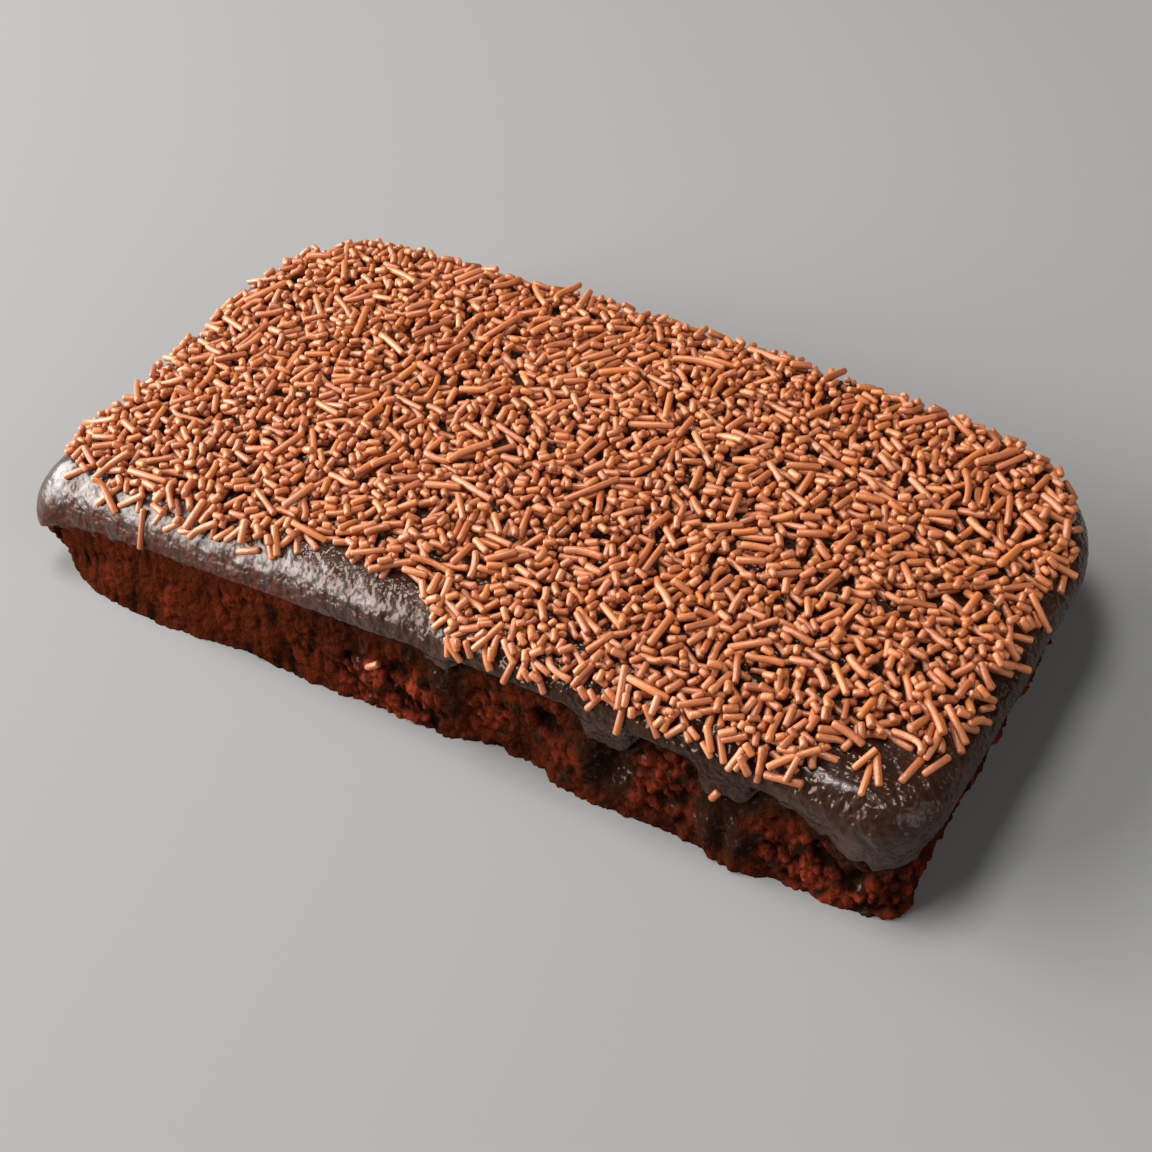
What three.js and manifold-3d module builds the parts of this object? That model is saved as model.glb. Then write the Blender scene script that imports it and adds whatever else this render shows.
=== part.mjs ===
// Chocolate slab cake: a dark sponge under a poured chocolate icing, strewn with chocolate sprinkles.
// Millimetres, +Z up, the long sides along X, the front at -Y, the origin under the middle of the base.

import * as THREE from 'three';
import { mergeVertices } from 'three/addons/utils/BufferGeometryUtils.js';
import { ImprovedNoise } from 'three/addons/math/ImprovedNoise.js';
import Module from 'manifold-3d';

// Outline of the icing at its widest, seen from above
const LENGTH = 190;
const RIM_FRONT = -44.8;
const RIM_BACK = 48.4;
const BACK_BOW = 1.5;
const CORNER_RADII = { frontLeft: 9.5, frontRight: 11, backRight: 26, backLeft: 24 };

// Top of the icing: height at its edge, rise along the length, further rise in the middle
const EDGE_HEIGHT = 23.5;
const CROWN = 3.5;
const DOME = 2;

// Radius of the icing's shoulder, softer on the left, and the stretch of the front along which it tightens
const SHOULDER = 5.5;
const LEFT_SHOULDER = 9;
const SHOULDER_TIGHTENS = { from: -35, to: 25 };
// How far the slumped front left corner bulges out, and how much further down its shoulder reaches
const CORNER_BULGE = 3.6;
const CORNER_SLUMP = 4.5;

// Icing thickness on top and on the walls, and the clearance to the sponge
const TOP_THICKNESS = 2.2;
const WALL_THICKNESS = 2.2;
const CLEARANCE = 0.3;
const LIP_ROUND = 0.8;
const LIP_BELOW_RIM = 1.2;

// How far the foot of each wall stands out from the widest outline, and further in the front corners
const FOOT = { front: 3, right: -3, back: -3, left: -3.5 };
const FOOT_CORNER = { right: 2.4, left: -0.5 };
// Swells and hollows along the foot of the front wall: middle, half width, how far it stands out
const FOOT_SWELLS = [
  { x: -94, halfWidth: 13, out: -1.5 },
  { x: -65, halfWidth: 20, out: 1.5 },
  { x: 15, halfWidth: 14, out: -2.4 },
  { x: 63, halfWidth: 8, out: 1.2 },
];

// Lower edge of the icing: its height along the front and on the other walls, and runs that reach lower
const FRONT_LIP = [
  [-95, 9],
  [-77, 13.5],
  [-41, 17.5],
  [-10, 20],
  [30, 20.5],
  [46, 18],
  [68, 18],
  [80, 12.5],
  [95, 11.5],
];
const LIP_HEIGHT = { right: 12, back: 13, left: 11 };
const LIP_WANDER = 2;
const LIP_WANDER_SCALE = 14;
const FRONT_RUNS = [
  { x: 3, halfWidth: 6, reach: 8 },
  { x: 37, halfWidth: 8, reach: 3 },
  { x: 60, halfWidth: 8, reach: 2.5 },
];
const BACK_RUNS = [
  { x: -52, halfWidth: 11, reach: 5 },
  { x: -8, halfWidth: 12, reach: 4 },
  { x: 40, halfWidth: 12, reach: 6 },
];
// Share of a run or a swell that is level before its sides fall off
const HUMP_CREST = 0.4;

// Open crumb on the bare walls: depth and size of the crags, and how soon they start under the icing's edge
const CRAG_DEPTH = 1.6;
const CRAG_SIZE = 5;
const CRAG_FADE = 3;
const COVERED_SLIMMER = 0.4;

// Sprinkles: only the longest of the real ones, spread over the top
const SPRINKLE_COUNT = 180;
const SPRINKLE_DIAMETER = 1.7;
const SPRINKLE_LONGEST = 11;
const SPRINKLE_SHORTEST = 6;
const SPRINKLE_SUNK = 0.55;
const SPRINKLE_SPACING = 2.1;
const SPRINKLE_ROOT = 0.8;
const SPRINKLE_SHOULDER = 0.7;
const SPRINKLE_CREST = 0.4;
const SPRINKLE_BEND = 0.14;
const BENT_EVERY = 4;
const BENT_STEPS = 2;
const STRAIGHT_STEPS = 1;
const ROD_SAMPLES = [-1, -0.5, 0, 0.5, 1];
const EDGE_MARGIN = 0.5;
const PLACE_TRIES = 20000;
const SEED = 7;
// Steps of the evenly spread sequence of places, powers of the plastic number
const PLASTIC = 1.32471795724474602596;
const SPREAD_X = 1 / PLASTIC;
const SPREAD_Y = 1 / PLASTIC ** 2;

// Facets: steps along each stretch of the outline, and rings of the top, the shoulder and the bare wall
const STEPS = { front: 36, end: 8, back: 14, frontCorner: 5, backCorner: 5 };
const TOP_RINGS = [0.5];
const HIDDEN_TOP_RINGS = [0.5];
const SHOULDER_TURNS = [1 / 3, 2 / 3, 1];
const BARE_WALL_LEVELS = [0.85, 0.68, 0.52, 0.36, 0.22, 0.1, 0];

const HALF_LENGTH = LENGTH / 2;
const HALF_DEPTH = (RIM_BACK - RIM_FRONT) / 2;
const noise = new ImprovedNoise();
const wasm = await Module();
wasm.setup();

// The widest outline as evenly divided stretches, counterclockwise from the front left corner
function outlineSteps() {
  const { frontLeft, frontRight, backRight, backLeft } = CORNER_RADII;
  const left = -HALF_LENGTH;
  const right = HALF_LENGTH;
  const quarter = Math.PI / 2;
  const line = (x0, y0, x1, y1) => new THREE.LineCurve(new THREE.Vector2(x0, y0), new THREE.Vector2(x1, y1));
  const arc = (x, y, r, from) => new THREE.EllipseCurve(x, y, r, r, from, from + quarter);
  const stretches = [
    [line(left + frontLeft, RIM_FRONT, right - frontRight, RIM_FRONT), STEPS.front],
    [arc(right - frontRight, RIM_FRONT + frontRight, frontRight, -quarter), STEPS.frontCorner],
    [line(right, RIM_FRONT + frontRight, right, RIM_BACK - backRight), STEPS.end],
    [arc(right - backRight, RIM_BACK - backRight, backRight, 0), STEPS.backCorner],
    [line(right - backRight, RIM_BACK, left + backLeft, RIM_BACK), STEPS.back],
    [arc(left + backLeft, RIM_BACK - backLeft, backLeft, quarter), STEPS.backCorner],
    [line(left, RIM_BACK - backLeft, left, RIM_FRONT + frontLeft), STEPS.end],
    [arc(left + frontLeft, RIM_FRONT + frontLeft, frontLeft, 2 * quarter), STEPS.frontCorner],
  ];
  const steps = [];
  for (const [curve, count] of stretches) {
    for (let i = 0; i < count; i += 1) {
      const point = curve.getPoint(i / count);
      const tangent = curve.getTangent(i / count);
      const normal = new THREE.Vector2(tangent.y, -tangent.x);
      point.y += BACK_BOW * Math.max(0, normal.y) * (1 - (point.x / HALF_LENGTH) ** 2);
      steps.push({ x: point.x, y: point.y, nx: normal.x, ny: normal.y });
    }
  }
  return steps;
}

// A soft-sided hump that is 1 in the middle and 0 from its half width on
function hump(distance, halfWidth) {
  return 1 - THREE.MathUtils.smoothstep(Math.abs(distance), halfWidth * HUMP_CREST, halfWidth);
}

// A value given for each of the four walls, blended round the corners
function byWall(step, values) {
  const long = step.ny < 0 ? values.front : values.back;
  const short = step.nx < 0 ? values.left : values.right;
  return long * step.ny ** 2 + short * step.nx ** 2;
}

function topHeight(x, y) {
  const along = 1 - (x / HALF_LENGTH) ** 2;
  const across = 1 - (y / HALF_DEPTH) ** 2;
  return EDGE_HEIGHT + CROWN * along + DOME * along * across;
}

// 1 in the middle of a corner, 0 on the straight walls
function cornerShare(step) {
  return (2 * step.nx * step.ny) ** 2;
}

function slump(step) {
  return step.nx < 0 && step.ny < 0 ? cornerShare(step) : 0;
}

// How far the foot of the wall stands out from the widest outline
function footOffset(step) {
  const front = Math.max(0, -step.ny);
  const push = step.nx < 0 ? FOOT_CORNER.left : FOOT_CORNER.right;
  let offset = byWall(step, FOOT) + push * cornerShare(step) * front;
  for (const swell of FOOT_SWELLS) {
    offset += swell.out * front ** 2 * hump(step.x - swell.x, swell.halfWidth);
  }
  return offset;
}

// How far in from the widest outline the shoulder begins
function shoulderReach(step) {
  const { from, to } = SHOULDER_TIGHTENS;
  const front = THREE.MathUtils.lerp(LEFT_SHOULDER, SHOULDER, THREE.MathUtils.smoothstep(step.x, from, to));
  return byWall(step, { front, right: SHOULDER, back: SHOULDER, left: LEFT_SHOULDER });
}

function shoulderDrop(step) {
  return shoulderReach(step) + CORNER_SLUMP * slump(step);
}

// Height where the icing is widest, below its shoulder
function rimHeight(step) {
  const edge = inset(step, shoulderReach(step));
  return topHeight(edge.x, edge.y) - shoulderDrop(step);
}

// The bare wall leans from its foot to the inside of the icing's rim, with the bulge of the slumped corner
function wallOffset(step, z) {
  const covered = -(WALL_THICKNESS + CLEARANCE);
  const share = z / rimHeight(step);
  const bulge = CORNER_BULGE * slump(step) * THREE.MathUtils.smoothstep(share, 0, 1);
  return THREE.MathUtils.lerp(footOffset(step), covered, share) + bulge;
}

function frontLipHeight(x) {
  const next = Math.max(1, FRONT_LIP.findIndex(([at]) => at >= x));
  const [x0, z0] = FRONT_LIP[next - 1];
  const [x1, z1] = FRONT_LIP[next];
  return z0 + (z1 - z0) * THREE.MathUtils.smoothstep(x, x0, x1);
}

// Height of the icing's lower edge, with its wandering line and its runs
function lipHeight(step) {
  const level = byWall(step, { ...LIP_HEIGHT, front: frontLipHeight(step.x) });
  const away = 1 - Math.max(0, -step.ny);
  const wander = noise.noise(step.x / LIP_WANDER_SCALE, step.y / LIP_WANDER_SCALE, 0) * LIP_WANDER * away;
  let lip = level + wander;
  for (const run of step.ny < 0 ? FRONT_RUNS : BACK_RUNS) {
    const share = step.ny ** 2 * hump(step.x - run.x, run.halfWidth);
    lip = THREE.MathUtils.lerp(lip, run.reach, share);
  }
  return Math.min(lip, rimHeight(step) - LIP_BELOW_RIM);
}

function inset(step, depth) {
  return { x: step.x - step.nx * depth, y: step.y - step.ny * depth };
}

function outset(step, offset, z) {
  return [step.x + step.nx * offset, step.y + step.ny * offset, z];
}

// Crags eat into the bare wall; under the icing the wall is smooth and a little slimmer
function cragDepth(step, z) {
  const shown = THREE.MathUtils.smoothstep(lipHeight(step) - z, 0, CRAG_FADE);
  const crag = (noise.noise(step.x / CRAG_SIZE, step.y / CRAG_SIZE, z / CRAG_SIZE) + 1) / 2;
  return THREE.MathUtils.lerp(COVERED_SLIMMER, CRAG_DEPTH * crag, shown);
}

// A closed skin: a sphere's rings, from the top pole to the bottom pole, each moved to its own loop of points
function skinOfRings(steps, rings) {
  const geometry = new THREE.SphereGeometry(1, steps.length, rings.length - 1);
  const position = geometry.attributes.position;
  const columns = steps.length + 1;
  for (let i = 0; i < position.count; i += 1) {
    const ring = rings[Math.floor(i / columns)];
    const step = steps[(i % columns) % steps.length];
    position.setXYZ(i, ...ring(step));
  }
  return geometry;
}

// Rings of a top surface that lies a given depth under the icing's own top
const topPole = (depth) => () => [0, 0, topHeight(0, 0) - depth];
const topRing = (share, depth) => (step) => {
  const edge = inset(step, shoulderReach(step));
  return [edge.x * share, edge.y * share, topHeight(edge.x * share, edge.y * share) - depth];
};

function spongeGeometry(steps) {
  const depth = TOP_THICKNESS + CLEARANCE;
  const rings = [topPole(depth)];
  for (const share of [...HIDDEN_TOP_RINGS, 1]) {
    rings.push(topRing(share, depth));
  }
  rings.push((step) => outset(step, wallOffset(step, rimHeight(step)), rimHeight(step)));
  for (const level of BARE_WALL_LEVELS) {
    rings.push((step) => {
      const z = level * rimHeight(step);
      return outset(step, wallOffset(step, z) - cragDepth(step, z), z);
    });
  }
  rings.push(() => [0, 0, 0]);
  return skinOfRings(steps, rings);
}

function icingGeometry(steps) {
  const innerTop = TOP_THICKNESS;
  const outer = CLEARANCE + WALL_THICKNESS;
  const rings = [topPole(0)];
  for (const share of [...TOP_RINGS, 1]) {
    rings.push(topRing(share, 0));
  }
  for (const turn of SHOULDER_TURNS) {
    const angle = turn * Math.PI / 2;
    rings.push((step) => {
      const z = rimHeight(step) + shoulderDrop(step) * Math.cos(angle);
      const bulge = CORNER_BULGE * slump(step) * Math.sin(angle) ** 2;
      return outset(step, bulge - shoulderReach(step) * (1 - Math.sin(angle)), z);
    });
  }
  const outerWall = (step, z, thinner) => outset(step, wallOffset(step, z) + outer - thinner, z);
  const innerWall = (step, z) => outset(step, wallOffset(step, z) + CLEARANCE, z);
  rings.push((step) => outerWall(step, (rimHeight(step) + lipHeight(step)) / 2, 0));
  rings.push((step) => outerWall(step, lipHeight(step) + LIP_ROUND, 0));
  rings.push((step) => outerWall(step, lipHeight(step), LIP_ROUND));
  rings.push((step) => innerWall(step, lipHeight(step)));
  rings.push((step) => innerWall(step, rimHeight(step)));
  for (const share of [1, ...HIDDEN_TOP_RINGS]) {
    rings.push(topRing(share, innerTop));
  }
  rings.push(topPole(innerTop));
  return skinOfRings(steps, rings);
}

function insideOutline(corners, x, y) {
  return corners.every((a, i) => {
    const b = corners[(i + 1) % corners.length];
    return (b.x - a.x) * (y - a.y) - (b.y - a.y) * (x - a.x) >= 0;
  });
}

// How far in from the widest outline the sprinkles stay, along a straight front
function fieldInset(step) {
  const front = THREE.MathUtils.mapLinear(step.x, -HALF_LENGTH, HALF_LENGTH, LEFT_SHOULDER, SHOULDER);
  return byWall(step, { front, right: SHOULDER, back: SHOULDER, left: LEFT_SHOULDER });
}

// Places for the sprinkles, the longest first: an even spread over the top with a free turn for each,
// and each clear of those before it
function sprinklePlaces(steps) {
  const corners = steps.map((step) => {
    const edge = inset(step, fieldInset(step));
    return new THREE.Vector2(edge.x, edge.y);
  });
  const random = THREE.MathUtils.seededRandom;
  random(SEED);
  const places = [];
  for (let i = 1; i < PLACE_TRIES && places.length < SPRINKLE_COUNT; i += 1) {
    const share = places.length / SPRINKLE_COUNT;
    const length = THREE.MathUtils.lerp(SPRINKLE_LONGEST, SPRINKLE_SHORTEST, Math.sqrt(share));
    const x = (2 * ((i * SPREAD_X) % 1) - 1) * HALF_LENGTH;
    const y = (2 * ((i * SPREAD_Y) % 1) - 1) * HALF_DEPTH;
    const turn = random() * Math.PI;
    const place = { x, y, turn, length };
    const reach = 1 + EDGE_MARGIN / (length / 2);
    const ends = [alongRod(place, -reach), alongRod(place, reach)];
    const onTop = ends.every((end) => insideOutline(corners, end.x, end.y));
    if (onTop && places.every((other) => rodsApart(place, other))) {
      places.push(place);
    }
  }
  return places;
}

function alongRod(rod, share) {
  const reach = (rod.length / 2) * share;
  return new THREE.Vector2(rod.x + reach * Math.cos(rod.turn), rod.y + reach * Math.sin(rod.turn));
}

// Two rods are apart when none of the points along one comes near the other
function rodsApart(a, b) {
  const pointsB = ROD_SAMPLES.map((share) => alongRod(b, share));
  return ROD_SAMPLES.every((share) => {
    const point = alongRod(a, share);
    return pointsB.every((other) => other.distanceTo(point) > SPRINKLE_SPACING);
  });
}

// Section of a sprinkle, its rounded back up; along an extrusion the section's -X points up
function sprinkleSection() {
  const radius = SPRINKLE_DIAMETER / 2;
  const crest = radius - SPRINKLE_SUNK + radius;
  const half = [
    [SPRINKLE_ROOT, -radius],
    [-crest + radius * SPRINKLE_SHOULDER, -radius],
    [-crest, -radius * SPRINKLE_CREST],
  ];
  const mirrored = half.map(([x, y]) => [x, -y]).reverse();
  return new THREE.Shape([...half, ...mirrored].map(([x, y]) => new THREE.Vector2(x, y)));
}

// A blunt rod, straight or gently bent, lying on the icing and sunk a little into it
function sprinkleGeometry(place, bent) {
  const onIcing = (point) => new THREE.Vector3(point.x, point.y, topHeight(point.x, point.y));
  const tail = onIcing(alongRod(place, -1));
  const tip = onIcing(alongRod(place, 1));
  const sway = 2 * SPRINKLE_BEND * place.length;
  const bow = { x: place.x - sway * Math.sin(place.turn), y: place.y + sway * Math.cos(place.turn) };
  const straight = new THREE.LineCurve3(tail, tip);
  const extrudePath = bent ? new THREE.QuadraticBezierCurve3(tail, onIcing(bow), tip) : straight;
  const steps = bent ? BENT_STEPS : STRAIGHT_STEPS;
  return new THREE.ExtrudeGeometry(sprinkleSection(), { extrudePath, steps, bevelEnabled: false });
}

function solidOf(geometry) {
  const bare = geometry.clone();
  bare.deleteAttribute('normal');
  bare.deleteAttribute('uv');
  const merged = mergeVertices(bare);
  const vertProperties = Float32Array.from(merged.attributes.position.array);
  const triVerts = Uint32Array.from(merged.index.array);
  return new wasm.Manifold(new wasm.Mesh({ numProp: 3, vertProperties, triVerts }));
}

function geometryOf(solid) {
  const { vertProperties, triVerts } = solid.getMesh();
  const geometry = new THREE.BufferGeometry();
  geometry.setAttribute('position', new THREE.BufferAttribute(vertProperties, 3));
  geometry.setIndex(new THREE.BufferAttribute(triVerts, 1));
  geometry.computeVertexNormals();
  return geometry;
}

function icedTop(steps) {
  let iced = solidOf(icingGeometry(steps));
  sprinklePlaces(steps).forEach((place, i) => {
    iced = iced.add(solidOf(sprinkleGeometry(place, i % BENT_EVERY === 0)));
  });
  return geometryOf(iced);
}

const steps = outlineSteps();

const cake = new THREE.Mesh(
  geometryOf(solidOf(spongeGeometry(steps))),
  new THREE.MeshStandardMaterial({ color: 0x4a1f14, roughness: 0.9, metalness: 0 }),
);
cake.name = 'cake';

const icing = new THREE.Mesh(
  icedTop(steps),
  new THREE.MeshStandardMaterial({ color: 0x2a1a14, roughness: 0.3, metalness: 0 }),
);
icing.name = 'icing';

const group = new THREE.Group();
group.add(cake, icing);

export default group;
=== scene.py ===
import math
from typing import NamedTuple

import bmesh
import bpy
import numpy as np
from bpy.props import FloatProperty, FloatVectorProperty, IntProperty, PointerProperty
from mathutils import Matrix, Vector, noise


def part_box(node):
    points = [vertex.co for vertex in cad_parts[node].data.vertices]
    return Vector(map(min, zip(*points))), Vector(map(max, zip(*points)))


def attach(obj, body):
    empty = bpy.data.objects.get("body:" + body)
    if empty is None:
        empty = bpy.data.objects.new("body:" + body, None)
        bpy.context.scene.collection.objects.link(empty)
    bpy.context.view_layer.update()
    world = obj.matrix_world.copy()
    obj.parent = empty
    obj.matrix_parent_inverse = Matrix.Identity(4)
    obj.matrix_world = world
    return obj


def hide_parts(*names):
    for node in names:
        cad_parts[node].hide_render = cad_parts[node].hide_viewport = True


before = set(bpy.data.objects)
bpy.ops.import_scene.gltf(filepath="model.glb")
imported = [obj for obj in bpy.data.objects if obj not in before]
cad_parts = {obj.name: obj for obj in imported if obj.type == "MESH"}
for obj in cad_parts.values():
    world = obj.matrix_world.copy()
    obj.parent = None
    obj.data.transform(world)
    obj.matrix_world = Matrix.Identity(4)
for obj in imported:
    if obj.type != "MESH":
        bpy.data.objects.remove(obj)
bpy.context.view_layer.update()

# Chocolate slab cake: a dark sponge under a poured chocolate icing, strewn with chocolate sprinkles.
# Metres, +Z up, the long sides along X, the front at -Y, the origin under the middle of the base.

bl_info = {
    "name": "Chocolate slab cake",
    "version": (1, 0, 0),
    "blender": (4, 5, 0),
    "location": "View3D > Sidebar > Cake",
    "description": "Bakes a chocolate sponge, pours its icing and strews it with sprinkles",
    "category": "Add Mesh",
}

BODY = "root"
MM = 0.001
DEGREE = math.pi / 180
ICING_LOW, ICING_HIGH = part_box("icing")

# Outline of the icing at its widest: front and back walls, the bow of the back, the corner radii
RIM_FRONT = -44.8 * MM
RIM_BACK = 48.4 * MM
BACK_BOW = 1.5 * MM
RADIUS_FRONT_LEFT = 9.5 * MM
RADIUS_FRONT_RIGHT = 11 * MM
RADIUS_BACK_RIGHT = 26 * MM
RADIUS_BACK_LEFT = 24 * MM

# How far the foot stands out from the widest outline: front, right, back, left, squarer front corners
FOOT_WALLS = np.array((3, -3, -3, -3.5)) * MM
FOOT_CORNER_RIGHT = 2.4 * MM
FOOT_CORNER_LEFT = -0.5 * MM
# Swells and hollows along the foot of the front wall: middle, half width, how far it stands out
FOOT_SWELLS = np.array(((-94, 13, -1.5), (-65, 20, 1.5), (15, 14, -2.4), (63, 8, 1.2))) * MM

# Stretch of the front along which its shoulder tightens
SHOULDER_TIGHTENS = (-35 * MM, 25 * MM)
# How far the slumped front left corner bulges out, and how much further down its shoulder reaches
CORNER_BULGE = 3.6 * MM
CORNER_SLUMP = 4.5 * MM

# Lower edge of the icing: along the front as place and height, then on the right, the back and the left
FRONT_LIP = np.array((
    (-95, 9), (-77, 13.5), (-41, 17.5), (-10, 20.5), (30, 21), (46, 19.5), (68, 19), (80, 13), (95, 11.5),
)) * MM
OTHER_LIPS = np.array((12, 13, 11)) * MM
# How far the lower edge wanders, its ripples and frays as depth and size, and its limits
LIP_WANDER = 2 * MM
LIP_WANDER_SIZE = 14 * MM
LIP_RIPPLES = np.array(((2.0, 4.5), (0.8, 1.6))) * MM
LIP_LOWEST = 0.6 * MM
LIP_BELOW_RIM = 0.8 * MM

# Runs of icing down the front and the back wall: middle, half width, height that they reach down to
FRONT_RUNS = np.array(((3, 6, 8), (37, 8, 3), (60, 8, 2.5))) * MM
BACK_RUNS = np.array(((-52, 11, 5), (-8, 12, 4), (40, 12, 6))) * MM
# Share of a run that the skin of icing follows, and the flat share of a hump's half width
RUN_SKIN = 0.3
HUMP_CREST = 0.4
# The left of the cake, where the icing is wiped thin down the wall, and its thickness there
WIPED_BEFORE = (-34 * MM, -16 * MM)
WIPED_ICING = 0.5 * MM

# Patches of the front wall where the crumb is bare of icing: middle along and up, half width, half height
BARE_PATCHES = np.array((
    (-9, 5, 12, 7), (12, 8, 5, 6), (48, 11, 7, 8), (74, 5, 9, 6), (90, 4, 9, 8),
)) * MM
# Pockets and lumps of the front wall: middle along and up, half width, half height, how far it stands out
WALL_RELIEF = np.array((
    (38.5, 10.5, 5, 6, -3), (33, 8, 3.5, 7, 1.6), (24, 12, 4, 3.5, -1.8), (57.5, 6, 3.4, 8, 1.6),
    (63.5, 5, 3, 7, 1.4), (54, 15, 3, 4, -1.6), (3, 12, 4, 8, 1.2), (84, 6, 3, 4, -1.5),
)) * MM

# Crumb: steps round the wall, rings down it and across the top
CRUMB_STEPS = 1360
CRUMB_WALL_RINGS = 56
CRUMB_TOP_SHARES = (0.5, 0.9, 1.0)
# Sizes of the crumb's crags, lumps, holes and grain, and the width of the crevices and holes
CRAG_SIZE = 5 * MM
LUMPS = ((3.2 * MM, 0.65), (1.5 * MM, 0.35))
CREVICE = 0.4
HOLE_SIZE = 4.5 * MM
HOLE_REACH = 0.3
GRAIN_SIZE = 0.7 * MM
GRAIN_DEPTH = 0.2 * MM
# How the relief fades towards the icing, and how far the sponge draws in under it and under its foot
CRAG_FADE = 3 * MM
COVER_FADE = 3 * MM
COVERED_SLIMMER = 0.3 * MM
UNDER_EDGE = 0.8 * MM
# Bare crumb: size of its chance patches, where they begin, how soft the set patches are
BARE_NOISE_SIZE = 6 * MM
BARE_CHANCE = (-0.1, 0.35)
PATCH_EDGE = (0.5, 1.3)
SMEARED_SPOTS = 0.25
SMEARED_RELIEF = 0.7
WIPED_RELIEF = 0.5
# Icing that clings to the crumb: below the icing's edge, down the runs and in drops
WET_NOISE_SIZE = 3.4 * MM
WET_BELOW = (1.0 * MM, 4.5 * MM)
WET_RAGGED = 2.4 * MM
WET_RUN_RAGGED = 0.6
WET_DROPS = (0.2, 0.5)
WET_SMOOTHER = 0.35
NEAR_STEPS = 12
# Dark streaks down the wiped wall: their stretch upwards, size, spread and darkness
STREAK_STRETCH = np.array((1, 1, 0.3))
STREAK_SIZE = 2 * MM
STREAKS = (0.0, 0.5)
STREAK_DARK = 0.3

# Icing: steps round it, rings of its top, shoulder, wall, rounded lower edge and hidden underside
ICING_STEPS = 1100
ICING_TOP_RINGS = 16
ICING_SHOULDER_RINGS = 24
ICING_WALL_RINGS = 24
ICING_LIP_RINGS = 6
ICING_UNDER_SHARES = (1.0, 0.5)
ICING_TUCK = 0.6 * MM
# Lower edge of the icing: its roundness, how it sinks into the crumb or stands proud, and where it is thick
LIP_ROUND = 0.6 * MM
LIP_SUNK = -0.9 * MM
LIP_THICK = 0.5 * MM
THICK_AFTER = (58 * MM, 74 * MM)
EDGE_SMEAR = 0.35
THINS_BY = 0.9
# Waves and ripples of the icing as depth and size, its sharp little wrinkles, how smooth its left end is
ICING_WAVES = np.array(((0.35, 13), (0.2, 4))) * MM
WRINKLE_SIZE = 1.7 * MM
WRINKLE_DEPTH = 0.45 * MM
WRINKLE_MEAN = 0.25
SMOOTH_END = 0.8
# Ragged line on the shoulder from which the wiped icing is thin
WIPED_FROM = (0.80, 1.1)
WIPED_RAGGED = 0.35
WIPED_RAGGED_SIZE = 2.6 * MM
# Satin icing: on the left, and round the front right corner
SATIN_BEFORE = (-30 * MM, 20 * MM)
SATIN_CORNER = (80 * MM, -40 * MM)
SATIN_CORNER_RADIUS = 17 * MM
SATIN_CORNER_SHARE = 0.75

# Height map that the sprinkles land on: its pitch, margin, value beyond the icing and fall over its edge
BED_PITCH = 0.2 * MM
BED_MARGIN = 6 * MM
EMPTY = -1.0
STEEPEST_LEAN = 0.97
OVER_EDGE = 1.2 * MM
OVER_EDGE_SLOPE = 2.5
SLUMP_BETWEEN = (76 * MM, 86 * MM)
FRONT_BLEND = RIM_BACK / 4
# How a sprinkle lands: draws and tries, how deep it sinks, where it touches, what a try costs
FIELD_DRAWS = 60000
LANDING_TRIES = 14
SUNK = 0.35 * MM
CONTACT = 0.85
TOUCH_ACROSS = (-0.62, 0.0, 0.62)
LAID_ACROSS = np.linspace(-0.95, 0.95, 9)
LAID_FINER = 4
STEEPEST = 0.55
TILT_COST = 0.12
OVERHANG_COST = 1.0
TINY = 1e-12

# Where the sprinkles stop along the front, and over what distance they thin out there, by place along it
FIELD_FRONT = np.array((
    (-95, -34), (-82, -41), (-74, -43), (-62, -44), (-47, -43.5), (-32, -41), (-23, -38), (-7, -38),
    (5, -45), (20, -47.5), (25, -47.5), (30, -44), (34, -47.5), (50, -47.5), (55, -43.5), (60, -47),
    (66, -46), (71, -44), (73, -42), (75, -36), (79, -31.5), (84, -30), (90, -27), (95, -20),
)) * MM
FIELD_THIN = np.array(((-95, 6), (-15, 6), (5, 1), (95, 1))) * MM
FRONT_FIELD = RIM_FRONT / 2
# Where they stop at the other edges, and how ragged the edge of the layer is
EDGE_REACH = -0.4 * MM
LEFT_REACH = 4 * MM
RIGHT_REACH = 0.9 * MM
EDGE_RAGGED = 2.4 * MM
EDGE_RAGGED_SIZE = 8 * MM
EDGE_THIN = 5 * MM
# Clumps and gaps of the layer, and the right, where it is sparser
CLUMP_SIZE = 9 * MM
CLUMP_SHARES = (0.4, 1.0)
CLUMPS = (-0.35, 0.15)
RIGHT_SPARSE = (35 * MM, 75 * MM)
RIGHT_SPARSER = 0.18
# Single sprinkles beyond the field: place across the cake, turn, length
TOP_STRAYS = np.array((
    (8, -42.2, 35, 4.5), (10.5, -42.6, 20, 2.5), (18.9, -43.9, 64, 7.5), (24.3, -43.8, 141, 6.7),
    (40.7, -43.5, 90, 9.2), (51.5, -41.8, 133, 7.6), (55.1, -39.0, 104, 7.4), (63, -43.6, 60, 3.8),
    (70.6, -43.6, 6, 6.8), (69.6, -41.4, 168, 5.6), (82.5, -38.0, 100, 7.0), (83.5, -36.0, 120, 6.0),
    (81, -35.5, 60, 5.0), (88, -33, 80, 6.0), (91, -30, 70, 6.0), (91.5, -23, 130, 6.0),
    (-58, -42.2, 30, 5.0), (-75, -41, 50, 7.0), (-84, -38.5, 40, 8.0), (-40, -42, 15, 5.0),
    (-65.5, -43.8, 88, 8.5),
)) * (MM, MM, DEGREE, MM)
# Single sprinkles that stick to the front wall: place along and up it, lean, length
WALL_STRAYS = np.array(((-12, 10.7, 35, 3.4), (58.6, 14.1, 60, 2.6))) * (MM, MM, DEGREE, MM)

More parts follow.
